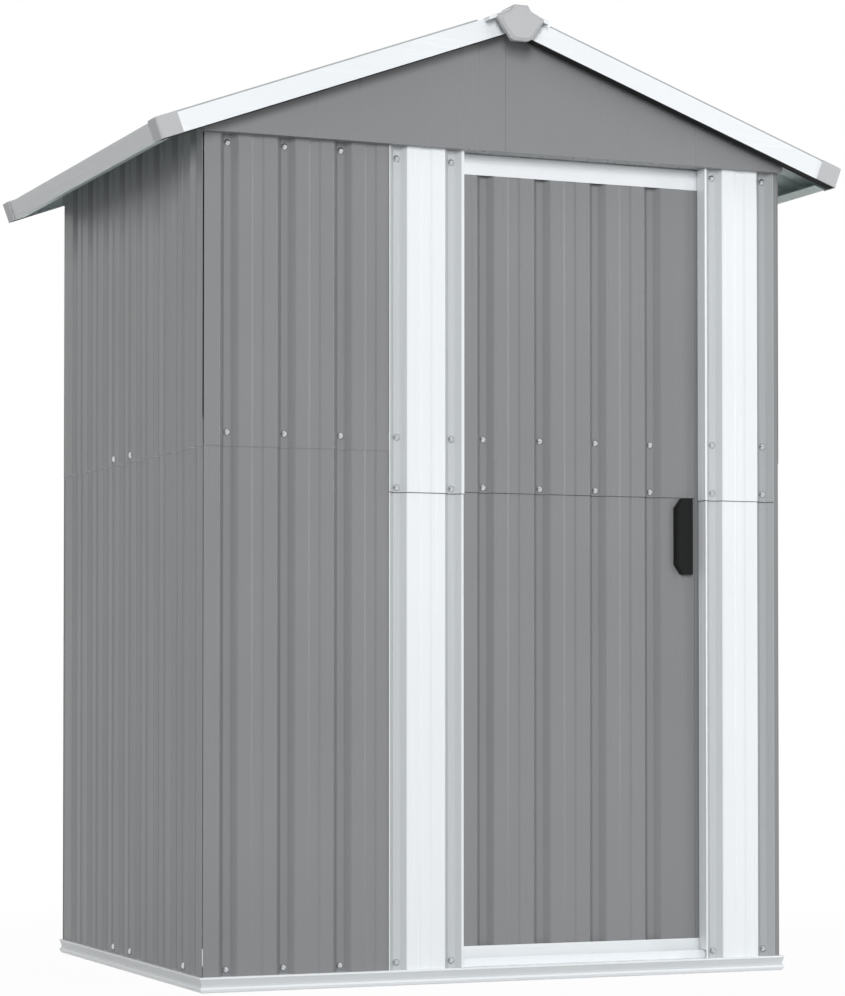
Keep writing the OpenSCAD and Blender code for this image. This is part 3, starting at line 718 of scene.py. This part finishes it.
underside = {}
for vertex in frame["nodes"]["ridge_cap"].data.vertices:
    x = round(vertex.co.x, DIGITS)
    underside[x] = min(underside.get(x, math.inf), vertex.co.z)
under_line = sorted(underside.items())
cap_low, cap_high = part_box("ridge_cap")
cap_ends = (
    (cap_low.y + LIP_GAP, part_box("verge_trims_front")[0].y - LIP_GAP),
    (cap_high.y - LIP_GAP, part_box("verge_trims_back")[1].y + LIP_GAP),
)
lips = []


def hang_lip(left, right, near, far, material):
    """Hang a thin block under the ridge cap, between two spots of its underside and two places along it."""
    bpy.ops.object.select_all(action="DESELECT")
    bpy.ops.mesh.primitive_cube_add(size=1)
    lip = bpy.context.object
    for vertex in lip.data.vertices:
        x, top = right if vertex.co.x > 0 else left
        drop = LIP_GAP if vertex.co.z > 0 else LIP_DROP
        vertex.co = (x, far if vertex.co.y > 0 else near, top - drop)
    lip.data.materials.append(material)
    lips.append(lip)


def join_parts(parts, name):
    """Join parts, each at its own place, to one piece at the origin."""
    bpy.ops.object.select_all(action="DESELECT")
    for part in parts:
        part.select_set(True)
    bpy.context.view_layer.objects.active = parts[0]
    bpy.ops.object.transform_apply(location=True, rotation=True, scale=True)
    bpy.ops.object.join()
    piece = bpy.context.object
    piece.name = name
    piece.data.name = name
    return piece


for end, verge in cap_ends:
    inner = end + math.copysign(LIP_THICK, verge - end)
    for left, right in zip(under_line, under_line[1:]):
        if left[0] * right[0] > 0:
            flange = min(abs(left[0]), abs(right[0])) > FLANGE_START
            hang_lip(left, right, *sorted((end, inner)), white_paint if flange else cap_plastic)
    for x, top in (under_line[0], under_line[-1]):
        corners = sorted(((x, top), (x - math.copysign(LIP_THICK, x), top)))
        hang_lip(*corners, *sorted((inner, verge)), white_paint)
lip_count = len(lips)
ridge_lips = join_parts(lips, "ridge_cap_lips")
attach(ridge_lips, "shed")
print(ridge_lips.name, lip_count, "lips")

# %% [markdown]
# Strip is sheared to length after it is painted, so its cut edge is bare. Where one sheet laps over the
# next, that edge and the shadow in the lap make one fine line across the wall. On the door, the pilasters
# and the back the lowest strip of the upper sheet gets dull dark steel, partly for the bare edge and partly
# as painted shade of the lap. On the side walls it gets a pale grey instead, painted light that makes up
# for the shadow, so that hardly a line is left there.

# %% Bare cut edges and painted lap lines along the overlaps
LIGHTENED_LAP_EDGES = ("left_wall_upper", "right_wall_upper")

# Dark dull steel: bare edge and painted shade of the lap; pale grey: painted light over the lap's shadow.
lap_edge_and_shade_steel = galvanised_steel("sheared_edge_and_painted_lap_shade", "#4c4e50", 0.5, 0.65, FINE_SPANGLE_MM)
lap_shadow_painted_light = coil_coated_steel("painted_light_over_lap_shadow", "#bec0c2", 0.02, 0.45, 0.6)
for node, height in LAP_EDGE_AND_SHADE_STRIPS.items():
    edge_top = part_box(node)[0].z + height
    lap_strip_paint = lap_shadow_painted_light if node in LIGHTENED_LAP_EDGES else lap_edge_and_shade_steel
    count = paint_faces(node, lap_strip_paint, lambda f: f.center.z < edge_top)
    print(node, count, "faces of bare edge")

# %% [markdown]
# Moulded plastic has no sharp edge at all, because the mould could not be cut with one. The caps and the
# handle get a small round on every edge; the flat caps are thin, so their round is smaller than the
# handle's.

# %% Round the moulded caps and the handle
MOULDED = {
    "roof_corner_caps": 1.1 * MM,
    "ridge_end_cap_front": 0.9 * MM,
    "ridge_end_cap_back": 0.9 * MM,
    "door_handle": 1.6 * MM,
}
CORNER_TURN = math.radians(24)

for node, radius in MOULDED.items():
    piece = copied_solid(node, "rounded_" + node)
    bpy.ops.object.mode_set(mode="EDIT")
    edges = round_edges(piece, radius, lambda e: e.calc_face_angle() > CORNER_TURN)
    bpy.ops.object.mode_set(mode="OBJECT")
    finish_piece(piece, node)
    print(piece.name, "edges rounded:", edges)

# %% [markdown]
# The sheets are held by short self-tapping screws with a broad flanged head. One head is turned from a
# cylinder: the top is drawn in and up three times for the dome, and a cross-shaped recess is pushed into
# it. It is made once at the origin and copied to every hole, each copy turned a little further, as if
# driven by hand.

# %% Model one screw head
HEAD_RADIUS = 6.7 * MM
HEAD_SIDES = 16
HEAD_SMOOTH = math.radians(40)
FLANGE_HEIGHT = 1.0 * MM
DOME_STEPS = ((1.2 * MM, 0.92), (1.1 * MM, 0.84), (0.6 * MM, 0.74))
RECESS_INSET = 1.2 * MM
RECESS_DEPTH = 1.8 * MM
RECESS_TAPER = 0.7
CROSS_WAIST = 0.38
DIAGONAL_REACH = 0.1 * MM

bpy.ops.object.select_all(action="DESELECT")
bpy.ops.mesh.primitive_cylinder_add(
    vertices=HEAD_SIDES, radius=HEAD_RADIUS, depth=FLANGE_HEIGHT, location=(0, 0, FLANGE_HEIGHT / 2)
)
screw = bpy.context.object
screw.name = "screw_head"
bpy.ops.object.transform_apply(location=True)


def select_top(piece):
    """In edit mode, select the one face that looks straight up and lies highest."""
    bpy.ops.mesh.select_mode(type="FACE")
    bpy.ops.mesh.select_all(action="DESELECT")
    mesh = bmesh.from_edit_mesh(piece.data)
    top = max(mesh.faces, key=lambda face: face.normal.z + face.calc_center_median().z)
    top.select_set(True)
    bmesh.update_edit_mesh(piece.data)
    return top.calc_center_median().z


bpy.ops.object.mode_set(mode="EDIT")
select_top(screw)
for rise, draw_in in DOME_STEPS:
    bpy.ops.mesh.extrude_region_move(TRANSFORM_OT_translate={"value": (0, 0, rise)})
    bpy.ops.transform.resize(value=(draw_in, draw_in, 1))
bpy.ops.mesh.inset(thickness=RECESS_INSET)
bpy.ops.mesh.select_mode(type="VERT")
mesh = bmesh.from_edit_mesh(screw.data)
for vertex in mesh.verts:
    if vertex.select and abs(abs(vertex.co.x) - abs(vertex.co.y)) > DIAGONAL_REACH:
        vertex.select_set(False)
bmesh.update_edit_mesh(screw.data)
bpy.ops.transform.resize(value=(CROSS_WAIST, CROSS_WAIST, 1))
top_z = select_top(screw)
bpy.ops.mesh.extrude_region_move(TRANSFORM_OT_translate={"value": (0, 0, -RECESS_DEPTH)})
bpy.ops.transform.resize(value=(RECESS_TAPER, RECESS_TAPER, 1))
bpy.ops.object.mode_set(mode="OBJECT")
bpy.ops.object.shade_smooth_by_angle(angle=HEAD_SMOOTH)
screw.data.materials.append(screw_zinc)
print("one screw head:", len(screw.data.polygons), "faces,", round(top_z / MM, 1), "mm high")

# %% [markdown]
# The screws sit in the valleys of the front, pilaster, door and back sheets, on the flat pans of the
# sides and on the ribs of the roof. The plane of the flats that carry them is read from the solids
# themselves, so a screw can never float beside its sheet. One helper finds the flats, and one copies the
# head to each place, facing outwards.

# %% Helpers to find the flats and drive the screws
VALLEY_DEPTH = 13.0 * MM
FLAT_REACH = 0.05 * MM
TURN_STEP = math.radians(37)
FRONT, BACK = Vector((0, -1, 0)), Vector((0, 1, 0))
LEFT, RIGHT = Vector((-1, 0, 0)), Vector((1, 0, 0))


def flats(node, along, outward, depth):
    """Middles of a sheet's flats, and their plane, from the corners at one depth under its outer plane."""
    corners = [v.co for v in frame["nodes"][node].data.vertices]
    plane = max(c.dot(outward) for c in corners) - depth
    on_flat = [c for c in corners if abs(c.dot(outward) - plane) < FLAT_REACH]
    marks = sorted({round(c[along], DIGITS) for c in on_flat})
    return [(a + b) / 2 for a, b in zip(marks[::2], marks[1::2])], plane


def drive_screws(name, body, places):
    """Copy the screw head to every (place, outward direction) and join the copies to one piece."""
    copies = []
    for index, (where, outward) in enumerate(places):
        head = screw.copy()
        head.data = screw.data.copy()
        scene.collection.objects.link(head)
        head.location = where
        head.rotation_mode = "QUATERNION"
        head.rotation_quaternion = Quaternion(outward, index * TURN_STEP) @ outward.to_track_quat("Z", "Y")
        copies.append(head)
    count = len(copies)
    piece = join_parts(copies, name)
    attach(piece, body)
    print(name, count, "screws")


# %% [markdown]
# The rows follow the photograph: one under the eaves, one along the overlap of the sheets and one at the
# base. A row is measured from the lower or the upper edge of its own sheet, so it moves with the sheet.

# %% Screws of the front, the pilasters and the door
PANEL_ROWS = {
    "front_panel_upper": (26.5 * MM, -15.5 * MM),
    "front_panel_lower": (11 * MM,),
}
PILASTER_ROWS = {
    "left_pilaster_upper": (10 * MM, 105 * MM, -23 * MM),
    "left_pilaster_lower": (13 * MM,),
    "right_pilaster_upper": (16 * MM, 111 * MM, -17 * MM),
    "right_pilaster_lower": (13 * MM,),
}
DOOR_ROWS = {"door_sheet_upper": (11 * MM, 104 * MM)}


def upright_places(rows, outward, most=math.inf):
    """Places on the valley floors of upright sheets: a row below zero is measured down from the top edge."""
    places = []
    for node, heights in rows.items():
        low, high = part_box(node)
        middles, plane = flats(node, 0, outward, VALLEY_DEPTH)
        for x in (m for m in middles if m < most):
            for height in heights:
                z = low.z + height if height > 0 else high.z + height
                places.append((Vector((x, plane * outward.y, z)), outward))
    return places


pilaster_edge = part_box("left_pilaster_upper")[0].x
drive_screws("front_panel_screws", "shed", upright_places(PANEL_ROWS, FRONT, most=pilaster_edge))
drive_screws("pilaster_screws", "shed", upright_places(PILASTER_ROWS, FRONT))
drive_screws("door_screws", "door", upright_places(DOOR_ROWS, FRONT))

# %% [markdown]
# The back wall is screwed like the front, in every valley. The sides have only a few, where a post or the
# rail stands behind the sheet, and those sit on the flat pans, which are counted from the front.

# %% Screws of the back and the sides
BACK_ROWS = {"back_wall_upper": (26.5 * MM, -21 * MM), "back_wall_lower": (12 * MM,)}
SIDE_PANS = {"wall_lower": (12 * MM, (0, 3, 4)), "wall_upper": (13 * MM, (3, 4))}
FIRST_PAN = -367.75 * MM
PAN_PITCH = 112.5 * MM
CREASE = 2.0 * MM

drive_screws("back_wall_screws", "shed", upright_places(BACK_ROWS, BACK))
side_places = []
for side, outward in (("left_", LEFT), ("right_", RIGHT)):
    for node, (height, pans) in SIDE_PANS.items():
        low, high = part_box(side + node)
        face = (high.x if outward.x > 0 else low.x) - CREASE * outward.x
        for pan in pans:
            side_places.append((Vector((face, FIRST_PAN + pan * PAN_PITCH, low.z + height)), outward))
drive_screws("side_wall_screws", "shed", side_places)

# %% [markdown]
# Roof screws go through the ribs, never the valleys, so that rain can't stand round them: one row beside
# the ridge and one at the eaves.

# %% Screws of the roof
ROOF_ROWS = (100 * MM, -34 * MM)

roof_places = []
for side in (-1, 1):
    node = "roof_panel_right" if side > 0 else "roof_panel_left"
    outward, down = slope_normal(side), slope_fall(side)
    middles, plane = flats(node, 1, outward, 0)
    reach = [v.co.dot(down) for v in frame["nodes"][node].data.vertices]
    for row in ROOF_ROWS:
        along = min(reach) + row if row > 0 else max(reach) + row
        roof_places += [(outward * plane + down * along + Vector((0, y, 0)), outward) for y in middles]
drive_screws("roof_screws", "shed", roof_places)
bpy.data.objects.remove(screw)
